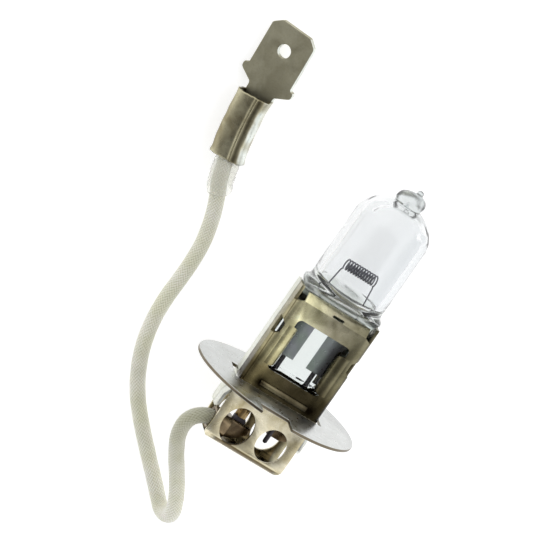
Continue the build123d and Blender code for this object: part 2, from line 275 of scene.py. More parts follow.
def height_ramp(tree, low, high, stops):
    """Colours by the height above the flange, from low to high millimetres, with an uneven border."""
    grain, depth = 2.2, 2.4
    uneven = add_wander(tree, coordinate(tree, "Y"), grain, depth)
    return ramp_between(tree, uneven, (depth / 2 - low) * MM, (depth / 2 - high) * MM, stops)


def attribute_ramp(tree, name, stops):
    """Colours by a value that the mesh carries, which is 0 where it has none."""
    value = tree.nodes.new("ShaderNodeAttribute")
    value.attribute_name = name
    return add_ramp(tree, value.outputs["Fac"], stops)


def distance_ramp(tree, centre, reach, stops):
    """Colours by the distance from a point, from 0 to reach millimetres, with an uneven border."""
    place = tree.nodes.new("ShaderNodeTexCoord")
    apart = tree.nodes.new("ShaderNodeVectorMath")
    apart.operation = "DISTANCE"
    apart.inputs[1].default_value = [value * MM for value in centre]
    tree.links.new(place.outputs["Object"], apart.inputs[0])
    grain, depth = reach / 6, reach * 0.4
    uneven = add_wander(tree, apart.outputs["Value"], grain, depth)
    return ramp_between(tree, uneven, depth / 2 * MM, (reach + depth / 2) * MM, stops)


def side_ramp(tree, reach, stops, axis="X"):
    """Colours by the place along an axis, from reach millimetres before the origin to reach past it."""
    return ramp_between(tree, coordinate(tree, axis), -reach * MM, reach * MM, stops)


def facing_ramp(tree, axis, stops):
    """Colours by how far the surface faces along an axis, from 0 for against it to 1 for along it."""
    place = tree.nodes.new("ShaderNodeTexCoord")
    towards = tree.nodes.new("ShaderNodeVectorMath")
    towards.operation = "DOT_PRODUCT"
    towards.inputs[1].default_value = axis
    tree.links.new(place.outputs["Normal"], towards.inputs[0])
    return ramp_between(tree, towards.outputs["Value"], -1, 1, stops)


def shade_by(material, make_ramp, *places, blend="MULTIPLY"):
    """Blend a ramp's colours into a material's base colour."""
    tree = material.node_tree
    socket = tree.nodes["Principled BSDF"].inputs["Base Color"]
    colours = make_ramp(tree, *places)
    tree.links.new(mixed(tree, blend, 1, socket.links[0].from_socket, colours), socket)


def sheet_metal(name, clean, tarnish, smooth=0.2, rough=0.38, dent=0.05, foot_shade=None, open_ends=False):
    """Plated sheet: blotches of tarnish, uneven gloss, shallow dents, fine grain, painted shade on inner
    walls.
    """
    material, tree, shader = new_material(name, Metallic=1.0)
    speck = add_noise(tree, 0.22, 3)
    tint = add_ramp(tree, add_noise(tree, 2.6, 5, distortion=0.6), [(0.34, tarnish), (0.62, clean)])
    dust = add_ramp(tree, speck, [(0.3, (0.82, 0.8, 0.76)), (0.5, (1, 1, 1))])
    colour = mixed(tree, "MULTIPLY", 0.5, tint, dust)
    # foot_shade: painted shade and a painted dark reflection, by height above the flange
    if foot_shade:
        colour = mixed(tree, "MULTIPLY", 1, colour, height_ramp(tree, 0.0, CAP_HEIGHT, foot_shade))
    # painted shade on the inner walls
    shade = attribute_ramp(tree, "inside", INNER_WALL_SHADE)
    if open_ends:
        shade = mixed(tree, "LIGHTEN", 1, shade, side_ramp(tree, HALF_CAP, OPEN_ENDS))
    colour = mixed(tree, "MULTIPLY", 1, colour, shade)
    tree.links.new(colour, shader.inputs["Base Color"])
    tree.links.new(add_range(tree, add_noise(tree, 0.9, 6), smooth, rough), shader.inputs["Roughness"])
    grain = add_noise(tree, 0.06, 2)
    add_bumps(tree, shader, (add_noise(tree, 3.2, 1), dent), (grain, 0.0015), (speck, 0.001))
    return material


def wire_metal(name, colour, rough):
    """Drawn wire with dull patches."""
    material, tree, shader = new_material(name, Metallic=1.0)
    dull = [channel * 0.6 for channel in colour]
    tint = add_ramp(tree, add_noise(tree, 0.4), [(0.35, dull), (0.65, colour)])
    tree.links.new(tint, shader.inputs["Base Color"])
    tree.links.new(add_range(tree, add_noise(tree, 0.15), rough, rough + 0.15), shader.inputs["Roughness"])
    add_bumps(tree, shader, (add_noise(tree, 0.08), 0.004))
    return material


def foil_metal():
    """Thin foil, darker towards its outer edge where the cap shades it."""
    material, tree, shader = new_material("foil", Metallic=1.0)
    foil_inner, foil_outer = 1.0 * MM, 3.3 * MM
    across = tree.nodes.new("ShaderNodeMath")
    across.operation = "ABSOLUTE"
    tree.links.new(coordinate(tree, "X"), across.inputs[0])
    shade = ramp_between(tree, across.outputs[0], foil_inner, foil_outer, [
        (0.35, (1, 1, 1)), (0.95, (0.12, 0.12, 0.13)),
    ])
    tint = add_ramp(tree, add_noise(tree, 2.4, 3), [(0.35, (0.35, 0.4, 0.36)), (0.65, (0.4, 0.4, 0.44))])
    tree.links.new(mixed(tree, "MULTIPLY", 1, tint, shade), shader.inputs["Base Color"])
    tree.links.new(add_range(tree, add_noise(tree, 0.5), 0.25, 0.45), shader.inputs["Roughness"])
    add_bumps(tree, shader, (add_noise(tree, 1.6, 2), 0.03))
    return material


def clear_glass():
    """Fire-polished quartz: clear on the round wall, murky in the worked shoulder and the sealed tip."""
    material, tree, shader = new_material("quartz_glass", Transmission_Weight=1.0, IOR=1.46)
    tint = height_ramp(tree, 0.0, GLASS_HEIGHT, [
        (0.0, (0.8, 0.84, 0.84)),
        (0.42, (0.78, 0.82, 0.8)),
        (0.44, (0.7, 0.75, 0.69)),
        (0.465, (0.76, 0.8, 0.76)),
        (0.5, (0.887, 0.897, 0.905)),
        (0.9, (0.875, 0.885, 0.89)),
        (0.93, (0.7, 0.73, 0.73)),
    ])
    blur = [(0.0, 0.05), (0.42, 0.06), (0.44, 0.42), (0.47, 0.36), (0.5, 0.0), (0.9, 0.0), (0.93, 0.2)]
    gloss = height_ramp(tree, 0.0, GLASS_HEIGHT, [(position, (value,) * 3) for position, value in blur])
    # painted shade: a darker streak down the wall's -X side
    cast = side_ramp(tree, HALF_CAP, [
        (0.0, (0.8, 0.82, 0.83)), (0.13, (0.83, 0.85, 0.86)), (0.2, (0.95, 0.955, 0.96)), (0.6, (1, 1, 1)),
    ])
    tree.links.new(mixed(tree, "MULTIPLY", 1, tint, cast), shader.inputs["Base Color"])
    tree.links.new(gloss, shader.inputs["Roughness"])
    add_bumps(tree, shader, (add_noise(tree, 4.0, 1), 0.02))
    return material


def film():
    """Thin milky shrink film."""
    material, tree, shader = new_material("sleeve_film", Transmission_Weight=0.85, IOR=1.15)
    shader.inputs["Base Color"].default_value = (0.96, 0.96, 0.93, 1)
    tree.links.new(add_range(tree, add_noise(tree, 0.9), 0.1, 0.3), shader.inputs["Roughness"])
    add_bumps(tree, shader, (add_noise(tree, 1.2, 2), 0.04))
    return material


def braid_yarn():
    """Cream glass-fibre yarn: painted shade between the strands, darker near the lead's exit, finely
    fibrous.
    """
    material, tree, shader = new_material("glass_fibre_braid", Sheen_Weight=1.0, Subsurface_Weight=0.15)
    shader.inputs["Subsurface Radius"].default_value = (0.6 * MM, 0.5 * MM, 0.35 * MM)
    shader.inputs["Subsurface Scale"].default_value = 1
    # painted shade in the valleys between the strands, lighter on their crowns
    tint = attribute_ramp(tree, "lift", [
        (0.0, (0.36, 0.35, 0.23)), (0.35, (0.73, 0.72, 0.59)), (0.9, (0.97, 0.97, 0.91)),
    ])
    cast = add_ramp(tree, add_noise(tree, 3.5, 3), [(0.35, (0.9, 0.9, 0.78)), (0.65, (1, 0.99, 0.97))])
    exit_darkening_reach = 16
    exit_darkening = distance_ramp(tree, LEAD_EXIT, exit_darkening_reach, [(0.25, (0.62, 0.62, 0.56)), (0.9, (1, 1, 1))])
    colour = mixed(tree, "MULTIPLY", 1, mixed(tree, "MULTIPLY", 1, tint, cast), exit_darkening)
    tree.links.new(colour, shader.inputs["Base Color"])
    tree.links.new(add_range(tree, add_noise(tree, 0.3), 0.45, 0.7), shader.inputs["Roughness"])
    add_bumps(tree, shader, (add_noise(tree, 0.05, 2), 0.012))
    return material


def flange_metal():
    """Bright plated sheet whose sideways-facing rim is darkened with painted shade."""
    material = sheet_metal(
        "bright_flange", (0.64, 0.655, 0.65), (0.58, 0.59, 0.58), smooth=0.25, rough=0.36, dent=0.02
    )
    # painted shade on the rim, where the sheet faces sideways
    face, edge = (1, 1, 1), (0.3, 0.25, 0.18)
    shade_by(material, facing_ramp, (0, 1, 0), [(0.1, face), (0.3, edge), (0.7, edge), (0.9, face)])
    return material


def barrel_metal():
    """The barrel's tarnished sheet, with a painted highlight down one side."""
    material = sheet_metal(
        "tarnished_barrel", (0.5, 0.47, 0.325), (0.3, 0.265, 0.165), smooth=0.22, rough=0.42
    )
    # painted highlight along the barrel's +x side
    shade_by(material, attribute_ramp, "bright", [(0.3, (1, 1, 1)), (0.9, (1.7, 1.9, 2.6))])
    return material


def terminal_metal():
    """The blade's tarnished sheet, with a painted highlight on the cut edges facing one side and painted
    shade on those facing the other.
    """
    material = sheet_metal(
        "tarnished_terminal", (0.43, 0.41, 0.3), (0.32, 0.3, 0.21), smooth=0.38, rough=0.5, dent=0.01
    )
    # painted shade on edges facing away from blade_side, painted highlight on edges facing along it
    shade_by(material, facing_ramp, blade_side, [
        (0.1, (0.35, 0.33, 0.3)), (0.35, (1, 1, 1)), (0.65, (1, 1, 1)), (0.85, (2.1, 2.3, 3.0)),
    ])
    return material


def cap_metal():
    """The front shell's nickel, browned and darkened next to the flange by painted shade and a painted dark
    reflection.
    """
    # painted shade and dark reflection: darkest at the flange, fading out up the cap
    foot_shade = [
        (0.0, (0.14, 0.12, 0.09)), (0.2, (0.24, 0.21, 0.16)), (0.36, (0.72, 0.7, 0.62)), (0.8, (1, 1, 1)),
    ]
    material = sheet_metal("nickel_cap", (0.46, 0.43, 0.31), (0.25, 0.23, 0.15), foot_shade=foot_shade)
    # painted highlight along the crest of the bead, which stands proud
    shade_by(material, attribute_ramp, "bright", [(0.3, (1, 1, 1)), (0.9, (2.0, 2.1, 2.5))])
    # painted shade on the side wall at -X, none over the front, a painted highlight on the bend at +X, and a
    # duller wall beyond it
    shade_by(material, side_ramp, HALF_CAP, [
        (0.0, (0.13, 0.12, 0.1)),
        (0.08, (0.55, 0.55, 0.5)),
        (0.5, (1, 1, 1)),
        (0.74, (1.8, 1.85, 1.7)),
        (0.85, (2.6, 2.65, 2.4)),
        (0.92, (1.7, 1.7, 1.55)),
        (0.97, (0.7, 0.68, 0.6)),
    ])
    # painted shade at each end of the bead, where it sinks into the sheet
    spot_reach, spot_depth = 1.3, 2.5
    for x, height in ((3.2, 0.75), (-3.75, 0.85)):
        shade_by(material, distance_ramp, (x, -height, spot_depth), spot_reach, [
            (0.25, (0.12, 0.1, 0.09)), (0.9, (1, 1, 1)),
        ])
    # the skirts under the flange are kept light, clear of the painted shade above the flange
    skirt_reach, skirt = 1.0, (0.72, 0.73, 0.68)
    shade_by(material, side_ramp, skirt_reach, [(0.6, (0, 0, 0)), (0.7, skirt)], "Y", blend="LIGHTEN")
    return material


CAP = cap_metal()
# the rear shell's nickel, painted paler as a reflection of the white surroundings
PALE_LIT_CAP = sheet_metal(
    "pale_lit_nickel", (0.82, 0.83, 0.77), (0.7, 0.71, 0.63), smooth=0.25, rough=0.4, dent=0.03
)
NICKEL = sheet_metal("nickel_sheet", (0.88, 0.82, 0.63), (0.52, 0.45, 0.27), open_ends=True)
DARK_CRIMP = sheet_metal("dark_crimp", (0.3, 0.23, 0.14), (0.09, 0.06, 0.035))
FLANGE = flange_metal()
TERMINAL = terminal_metal()
BARREL = barrel_metal()
BRASS = sheet_metal("brass", (0.72, 0.55, 0.28), (0.3, 0.2, 0.09))
TUNGSTEN = wire_metal("tungsten", (0.2, 0.2, 0.23), 0.3)
LEAD_IN = wire_metal("lead_in_wire", (0.1, 0.09, 0.1), 0.35)
COPPER = wire_metal("copper_strand", (0.7, 0.4, 0.25), 0.3)
FOIL = foil_metal()
GLASS = clear_glass()
FILM = film()
YARN = braid_yarn()


# ---------------------------------------------------------------- lead
LEAD_DIAMETER = 2.0 * MM
BRAID_STEP = 0.11
LEAD_ROUTE = [
    (4.0, 6.5, 0.0),
    (5.4, 6.5, 0.0),
    (6.6, 7.2, -0.1),
    (7.3, 8.6, -0.5),
    (6.8, 10.9, -1.6),
    (5.2, 13.4, -3.0),
    (3.1, 16.1, -4.4),
    (1.3, 18.7, -5.5),
    (0.2, 21.0, -6.3),
    (0.3, 22.0, -7.6),
    (0.9, 22.2, -9.0),
    (1.8, 21.3, -10.0),
    (3.7, 19.4, -10.0),
    (6.6, 16.6, -10.0),
    (9.3, 13.9, -10.0),
    (11.7, 11.1, -10.0),
    (13.8, 7.4, -10.0),
    (15.0, 3.5, -10.0),
    (15.4, -0.5, -10.0),
    (15.2, -4.5, -10.0),
    (15.3, -8.4, -10.0),
    (16.0, -11.6, -9.9),
    (17.3, -14.7, -9.1),
    (19.1, -17.8, -8.1),
    (19.8, -21.7, -8.0),
]


def spline_points(name, route, resolution):
    """Points along the smooth line whose control points are the route's, in metres."""
    data = bpy.data.curves.new(name, "CURVE")
    data.dimensions = "3D"
    data.resolution_u = resolution
    spline = data.splines.new("NURBS")
    spline.points.add(len(route) - 1)
    for point, place in zip(spline.points, route):
        point.co = (*(value * MM for value in place), 1)
    spline.order_u = 3
    spline.use_endpoint_u = True
    guide = bpy.data.objects.new(name, data)
    line = bpy.data.meshes.new_from_object(guide)
    points = [vertex.co.copy() for vertex in line.vertices]
    bpy.data.objects.remove(guide)
    bpy.data.curves.remove(data)
    bpy.data.meshes.remove(line)
    return points


def even_points(points, step):
    """The same line with its points a step apart."""
    lengths = [0.0]
    for start, end in zip(points, points[1:]):
        lengths.append(lengths[-1] + (end - start).length)
    count = max(2, round(lengths[-1] / step))
    result, index = [], 0
    for number in range(count + 1):
        reach = lengths[-1] * number / count
        while index < len(points) - 2 and lengths[index + 1] < reach:
            index += 1
        span = lengths[index + 1] - lengths[index]
        result.append(points[index].lerp(points[index + 1], (reach - lengths[index]) / span if span else 0))
    return result


def travelling_axes(points):
    """Two axes across the line at each point, carried along it without twist."""
    side = Vector((0, 0, 1))
    axes = []
    for index in range(len(points)):
        ahead = (points[min(index + 1, len(points) - 1)] - points[max(index - 1, 0)]).normalized()
        side = (side - ahead * side.dot(ahead)).normalized()
        axes.append((side, ahead.cross(side)))
    return axes


def braid_lift(turn, reach):
    """Height of a two-over-two braid, 0 to 1, at a turn about the lead and a reach along it."""
    carriers, lay = 16, 7.5
    first = carriers * turn + carriers * reach / lay
    second = carriers * turn - carriers * reach / lay
    over_first = (math.floor(first) + math.floor(second)) % 4 < 2
    across = (first if over_first else second) % 1
    along = (second if over_first else first) % 1
    roundness, dip = 2.5, 0.4
    return (1 - abs(2 * across - 1) ** roundness) * (1 - dip + dip * math.sin(math.pi * along))


def make_lead():
    """The braided lead: a tube whose surface is the woven yarns themselves."""
    points = even_points(spline_points("lead_guide", LEAD_ROUTE, 16), BRAID_STEP * MM)
    around, valley = 112, 0.92
    slack, slack_grain = 0.02, 1.1
    rings, lifts = [], []
    for index, (point, (side, up)) in enumerate(zip(points, travelling_axes(points))):
        ring = []
        for column in range(around):
            turn = column / around
            angle = 2 * math.pi * turn
            lift = braid_lift(turn, index * BRAID_STEP)
            outward = (side * math.cos(angle) + up * math.sin(angle)) * LEAD_DIAMETER / 2
            loose = slack * noise.noise((point + outward) / (slack_grain * MM))
            ring.append(point + outward * (valley + (1 - valley) * lift + loose))
            lifts.append(lift)
        rings.append(ring)
    data = mesh_from("braided_lead", loft(rings))
    end_lifts = [0.5, 0.5]
    set_attribute(data, "lift", lifts + end_lifts)
    lead = add_object("braided_lead", data, YARN)
    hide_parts("lead_braid")
    return lead, points


lead, lead_points = make_lead()


# ---------------------------------------------------------------- terminal and its sleeve
def open_tube(name, outer, inner):
    """A tube with a wall, open at both ends, from matching outer and inner rings."""
    around, count = len(outer[0]), len(outer)
    points = [point for ring in outer + inner for point in ring]
    layer = count * around
    faces = []
    for row in range(count - 1):
        for column in range(around):
            first, second = row * around + column, row * around + (column + 1) % around
            face = (first, second, second + around, first + around)
            faces.append(face)
            faces.append(tuple(layer + corner for corner in face[::-1]))
    for row, order in ((0, 1), (count - 1, -1)):
        for column in range(around):
            first, second = row * around + column, row * around + (column + 1) % around
            faces.append((second, first, layer + first, layer + second)[::order])
    data = bpy.data.meshes.new(name)
    data.from_pydata([tuple(point) for point in points], [], faces)
    shape = bmesh.new()
    shape.from_mesh(data)
    bmesh.ops.recalc_face_normals(shape, faces=shape.faces)
    shape.to_mesh(data)
    shape.free()
    data.shade_smooth()
    # the inner wall is marked for painted shade
    set_attribute(data, "inside", [0.0] * layer + [1.0] * layer)
    return data


def closed_curve(points, steps):
    """A smooth closed outline through a few points, as a Catmull-Rom curve."""
    result = []
    count = len(points)
    for index in range(count):
        before, start, end, after = (Vector(points[(index + shift) % count]) for shift in (-1, 0, 1, 2))
        for step in range(steps):
            t = step / steps
            bend = before * -1 + start * 3 - end * 3 + after
            curve = before * 2 - start * 5 + end * 4 - after
            result.append((start * 2 + (end - before) * t + curve * t * t + bend * t**3) / 2)
    return result


BLADE_LENGTH, BLADE_HALF_WIDTH, BLADE_HALF_THICKNESS, NECK_LENGTH = 6.7, 3.15, 0.4, 2.6
HOLE_REACH, HOLE_RADIUS = 3.6, 0.85
BARREL_LENGTH, BARREL_HEIGHT, BARREL_BEND, BARREL_BOW = 8.3, 2.9, math.radians(5.65), 0.22
SHEET_THICKNESS = 0.39
SLEEVE_LENGTH, SLEEVE_WALL = 4.4, 0.09
blade_foot = Vector(mounts["blade"]["pos_m"]) - blade_ahead * BLADE_LENGTH * MM
neck_end = blade_foot - blade_ahead * NECK_LENGTH * MM
barrel_ahead = blade_ahead * math.cos(BARREL_BEND) - blade_side * math.sin(BARREL_BEND)
barrel_side = blade_side * math.cos(BARREL_BEND) + blade_ahead * math.sin(BARREL_BEND)
barrel_lift = BARREL_HEIGHT / 2 - BLADE_HALF_THICKNESS
barrel_mouth = neck_end - barrel_ahead * BARREL_LENGTH * MM + blade_up * barrel_lift * MM


def make_sleeve():
    """A thin shrunk film: narrow in the barrel's mouth, wider outside it, creased and cut off unevenly."""
    start = min(range(len(lead_points)), key=lambda index: (lead_points[index] - barrel_mouth).length)
    covered = lead_points[start - int(SLEEVE_LENGTH / BRAID_STEP) : start + 2][::-1]
    around, ring_step = 48, 0.12
    line = even_points(covered, ring_step * MM)
    mouth_radius, swell, taper = 1.25, 0.4, 0.12
    crease_depth, crease_grain = 0.08, 0.9
    mouth_share, offset, ragged_depth = 0.22, 0.22, 1.6
    outer, inner = [], []
    for index, (point, (side, up)) in enumerate(zip(line, travelling_axes(line))):
        share = index / (len(line) - 1)
        outside = ease(share / mouth_share)
        outer_ring, inner_ring = [], []
        for angle in full_turn(around):
            outward = side * math.cos(angle) + up * math.sin(angle)
            crease = noise.noise((point + outward * MM) / (crease_grain * MM))
            radius = mouth_radius + swell * outside - taper * share + crease_depth * crease
            ragged = Vector()
            if index == len(line) - 1:
                ragged = (line[-1] - line[-2]) * ragged_depth * noise.noise(outward * 2.2)
            centre = point + blade_side * offset * outside * MM + ragged
            outer_ring.append(centre + outward * radius * MM)
            inner_ring.append(centre + outward * (radius - SLEEVE_WALL) * MM)
        outer.append(outer_ring)
        inner.append(inner_ring)
    sleeve = add_object("end_sleeve_film", open_tube("end_sleeve_film", outer, inner), FILM)
    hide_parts("end_sleeve")
    return sleeve


def barrel_flare(share):
    """The barrel widens a little at its mouth and at the neck."""
    mouth, neck = (share / 0.06) ** 2, ((1 - share) / 0.05) ** 2
    return 1 + 0.05 * math.exp(-mouth) + 0.03 * math.exp(-neck)


def barrel_highlight(x, y, share):
    """How strong the barrel's painted highlight is, which is only along its +x side."""
    return ease((x - 1.5) / 0.4) * (0.75 + 0.5 * noise.noise(Vector((x, y, share * 5))))


def barrel_fold_shade_and_spots(x, y, share):
    """Painted shade in the fold between the wings, and darker spots along the -x side."""
    fold = 0.6 * math.exp(-(((x - 1.3) / 0.25) ** 2)) if y > 0 else 0.0
    spots = ease((-1.85 - x) / 0.2) * ease(0.5 + 2.5 * noise.noise(Vector((x, y, share * 9 + 4))))
    return max(fold, 0.7 * spots)


def make_barrel():
    """The crimp barrel: sheet rolled round the lead, bowed, with its two wings meeting in a fold."""
    section = closed_curve([
        (0.74, 1.1), (0.6, 1.24), (0.36, 1.35), (-0.15, 1.42), (-0.9, 1.42), (-1.6, 1.28), (-2.0, 0.88),
        (-2.13, 0.1), (-2.08, -0.6), (-1.85, -1.12), (-1.3, -1.4), (0.0, -1.45), (1.3, -1.4), (1.88, -1.05),
        (2.1, -0.4), (2.08, 0.4), (1.8, 0.92), (1.36, 1.17), (0.95, 1.2),
    ], 6)
    steps, dent_depth, cut_depth = 40, 0.025, 0.12
    outer, inner, bright, shade = [], [], [], []
    for step in range(steps + 1):
        share = step / steps
        bow = -BARREL_BOW * (1 - (2 * share - 1) ** 2)
        centre = barrel_mouth + (barrel_ahead * share * BARREL_LENGTH + barrel_side * bow) * MM
        outer_ring, inner_ring = [], []
        for x, y in section:
            dent = dent_depth * noise.noise(Vector((x, y, share * 6)))
            size = barrel_flare(share) * (1 + dent)
            within = 1 - SHEET_THICKNESS / math.hypot(x, y)
            cut = cut_depth * noise.noise(Vector((x * 1.7, y * 1.7, 3))) if step in (0, steps) else 0
            base = centre + barrel_ahead * cut * MM
            outer_ring.append(base + (barrel_side * x + blade_up * y) * size * MM)
            inner_ring.append(base + (barrel_side * x + blade_up * y) * size * within * MM)
            bright.append(barrel_highlight(x, y, share))
            shade.append(barrel_fold_shade_and_spots(x, y, share))
        outer.append(outer_ring)
        inner.append(inner_ring)
    data = open_tube("terminal_barrel", outer, inner)
    # the painted highlight is on the outer wall only
    set_attribute(data, "bright", bright + [0.0] * len(bright))
    # painted shade in the fold and darker spots on the outer wall, full painted shade on the inner wall
    data.attributes["inside"].data.foreach_set("value", shade + [1.0] * len(shade))
    barrel = add_object("terminal_barrel", data, BARREL)
    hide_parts("blade_terminal")
    return barrel


def blade_outline(grow):
    """Half of the blade's outline, from the neck over its shoulder, wider by grow, to the tip."""
    neck_half_width, overlap = 1.85, 0.7
    return [
        (neck_half_width, -NECK_LENGTH - overlap),
        (neck_half_width, -2.1),
        (1.95, -1.8),
        (3.35 + grow, -1.05),
        (3.65 + grow, -0.85),
        (3.75 + grow, -0.6),
        (3.74 + grow, -0.25),
        (3.62 + grow, -0.05),
        (3.35, 0.0),
        (3.2, 0.1),
        (BLADE_HALF_WIDTH, 0.3),
        (BLADE_HALF_WIDTH, BLADE_LENGTH - 1.0),
        (BLADE_HALF_WIDTH - 0.12, BLADE_LENGTH - 0.78),
        (BLADE_HALF_WIDTH - 1.05, BLADE_LENGTH - 0.04),
        (BLADE_HALF_WIDTH - 1.25, BLADE_LENGTH),
    ]


def make_blade_sheet(name, low, high, grow):
    """One of the blade's two sheets, with the latch hole through it."""
    half = blade_outline(grow)
    outline = half + [(-x, y) for x, y in reversed(half)]
    hole_corners = 40
    hole = [
        (HOLE_RADIUS * math.cos(angle), HOLE_REACH + HOLE_RADIUS * math.sin(angle))
        for angle in full_turn(hole_corners)
    ]
    shape = bmesh.new()
    for loop in (outline, hole):
        places = [blade_foot + (blade_side * x + blade_ahead * y + blade_up * low) * MM for x, y in loop]
        corners = [shape.verts.new(place) for place in places]
        for start, end in zip(corners, corners[1:] + corners[:1]):
            shape.edges.new((start, end))
    bmesh.ops.triangle_fill(shape, edges=shape.edges[:], use_beauty=True)
    lifted = bmesh.ops.extrude_face_region(shape, geom=shape.faces[:])
    tops = [item for item in lifted["geom"] if isinstance(item, bmesh.types.BMVert)]
    bmesh.ops.translate(shape, vec=blade_up * (high - low) * MM, verts=tops)
    bmesh.ops.recalc_face_normals(shape, faces=shape.faces)
    bmesh.ops.dissolve_limit(shape, angle_limit=math.radians(1), verts=shape.verts, edges=shape.edges)
    data = bpy.data.meshes.new(name)
    shape.to_mesh(data)
    shape.free()
    data.shade_smooth()
    sheet = add_object(name, data, TERMINAL)
    roll_edges(sheet, 0.07)
    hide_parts("blade_terminal")
    return sheet


def roll_edges(piece, width):
    """Make every sharp edge of a pressed sheet a little round."""
    bevel = piece.modifiers.new("rolled_edges", "BEVEL")
    bevel.width = width * MM
    bevel.segments = 3
    bevel.limit_method = "ANGLE"
    bevel.angle_limit = math.radians(18)
    bevel.harden_normals = True
    bevel.use_clamp_overlap = True


HALF_GAP = 0.01
sleeve = make_sleeve()
terminal_pieces = [
    make_barrel(),
    make_blade_sheet("blade_upper_sheet", HALF_GAP, BLADE_HALF_THICKNESS, 0.0),
    make_blade_sheet("blade_lower_sheet", -BLADE_HALF_THICKNESS, -HALF_GAP, -0.05),
]


# ---------------------------------------------------------------- glass bulb
GLASS_RADIUS, GAS_RADIUS = 4.95, 4.05
PINCH_HALF_WIDTH, PINCH_HALF_DEPTH = 5.0, 1.55
SHOULDER_BOTTOM, SHOULDER_RISE = 13.15, 1.75
CAVITY_START, CAVITY_DIP = 15.7, 1.7
DOME_START, DOME_RISE, GAS_DOME_RISE = 24, 4.0, 3.1


def glass_section(height):
    """Half width, half depth and squareness of the glass at a height above the flange."""
    rise = ease((height - SHOULDER_BOTTOM) / SHOULDER_RISE)
    half_depth = PINCH_HALF_DEPTH + (GLASS_RADIUS - PINCH_HALF_DEPTH) * rise
    bulge_height, bulge_reach, bulge_size = 13.95, 0.5, 0.35
    bulge = bulge_size * math.exp(-(((height - bulge_height) / bulge_reach) ** 2)) if height > 12 else 0
    half_width = PINCH_HALF_WIDTH + (GLASS_RADIUS - PINCH_HALF_WIDTH) * rise + bulge
    return half_width, half_depth, 2 + 4 * (1 - rise)


def oval(height, half_width, half_depth, squareness, count, centre_x=0.0):
    """A ring of points across the axis: round at a squareness of 2, and boxier above it."""
    ring = []
    for angle in full_turn(count):
        x = math.copysign(abs(math.cos(angle)) ** (2 / squareness), math.cos(angle)) * half_width
        z = math.copysign(abs(math.sin(angle)) ** (2 / squareness), math.sin(angle)) * half_depth
        ring.append(Vector((centre_x + x, -height, z)) * MM)
    return ring


def circle(height, radius, count, centre_x=0.0):
    """A round ring of points across the axis."""
    return oval(height, radius, radius, 2, count, centre_x)


def dome(base, rise, radius, degrees, steps, count):
    """Rings up a dome over a round wall, from just above the base to an angle of degrees."""
    rings = []
    for step in range(1, steps + 1):
        angle = math.radians(step * degrees / steps)
        rings.append(circle(base + rise * math.sin(angle), radius * math.cos(angle), count))
    return rings


def swell(point, share):
    """Move a point away from the axis by a share of its distance from it."""
    point.x *= 1 + share
    point.z *= 1 + share


def uneven_wall(point):
    """What the flame has left: a torn foot, a rippled shoulder and a lumpy tip."""
    height = -point.y / MM
    on_foot, on_shoulder, on_tip = height < 3.2, 12.7 < height < 14.8, 27.9 < height < 29.5
    if on_foot:
        point.y += 0.25 * MM * noise.noise(Vector((point.x, 0, point.z)) / (0.4 * MM))
    elif on_shoulder:
        swell(point, 0.014 * noise.noise(Vector((point.x, point.y * 2.5, point.z)) / (0.8 * MM)))
    elif on_tip:
        swell(point, 0.16 / 1.5 * noise.noise(point / (1.1 * MM)))


def uneven_gas_space(point):
    """Ripples in the two worked ends of the gas space, deeper in the dome."""
    height = -point.y / MM
    in_dome, on_floor = 25 < height < 27.1, height < 15.2
    if in_dome or on_floor:
        depth = 0.06 if in_dome else 0.03
        swell(point, depth * noise.noise(Vector((point.x, point.y * 1.6, point.z)) / (1.3 * MM)))


def glass_outside(count):
    """The outer wall, from the pinched foot to the nib on the sealed tip."""
    rings = []
    # the foot's lower edge is rounded in
    for height, shrink in ((2.9, 0.35), (2.96, 0.12), (3.1, 0.0)):
        half_width, half_depth, squareness = glass_section(height)
        rings.append(oval(height, half_width - shrink, half_depth - shrink, squareness, count))
    # the pinch, the shoulder with its rings close together, and the round wall
    heights = [3.4 + 0.5 * step for step in range(19)]
    heights += [12.9 + 0.12 * step for step in range(18)]
    heights += [15.1 + 0.9 * step for step in range(10)]
    rings += [oval(height, *glass_section(height), count) for height in heights]
    rings += dome(DOME_START, DOME_RISE, GLASS_RADIUS, 68.0, 18, count)
    # the sealed tip: a crease, a lumpy bead and an off-centre nib
    tip = [
        (27.72, 1.72, 0.0), (27.8, 1.68, 0.0), (27.95, 1.8, 0.0), (28.25, 1.86, -0.02), (28.6, 1.8, -0.05),
        (28.95, 1.6, -0.1), (29.22, 1.3, -0.18), (29.4, 0.95, -0.28), (29.48, 0.65, -0.38),
        (29.55, 0.46, -0.45), (29.68, 0.4, -0.47), (29.82, 0.42, -0.47), (29.95, 0.38, -0.46),
        (30.05, 0.24, -0.45), (30.1, 0.08, -0.45),
    ]
    rings += [circle(height, radius, count, centre_x) for height, radius, centre_x in tip]
    for ring in rings:
        for point in ring:
            uneven_wall(point)
    return loft(rings)


def glass_inside(count):
    """The gas space, with the narrow neck that runs into the sealed tip."""
    rings = []
    # the rounded floor, from its middle outwards
    for step in range(1, 13):
        angle = math.radians(90 - step * 90 / 13)
        height = CAVITY_START - CAVITY_DIP * math.sin(angle)
        rings.append(circle(height, GAS_RADIUS * math.cos(angle), count))
    for height in (CAVITY_START, 17.5, 19.5, 21.5, 23.0, DOME_START):
        rings.append(circle(height, GAS_RADIUS, count))
    rings += dome(DOME_START, GAS_DOME_RISE, GAS_RADIUS, 74.0, 15, count)
    neck = [(27.02, 0.95), (27.12, 0.75), (27.3, 0.55), (27.6, 0.4), (27.9, 0.28), (28.15, 0.1)]
    rings += [circle(height, radius, count) for height, radius in neck]
    for ring in rings:
        for point in ring:
            uneven_gas_space(point)
    return loft(rings, flip=True)


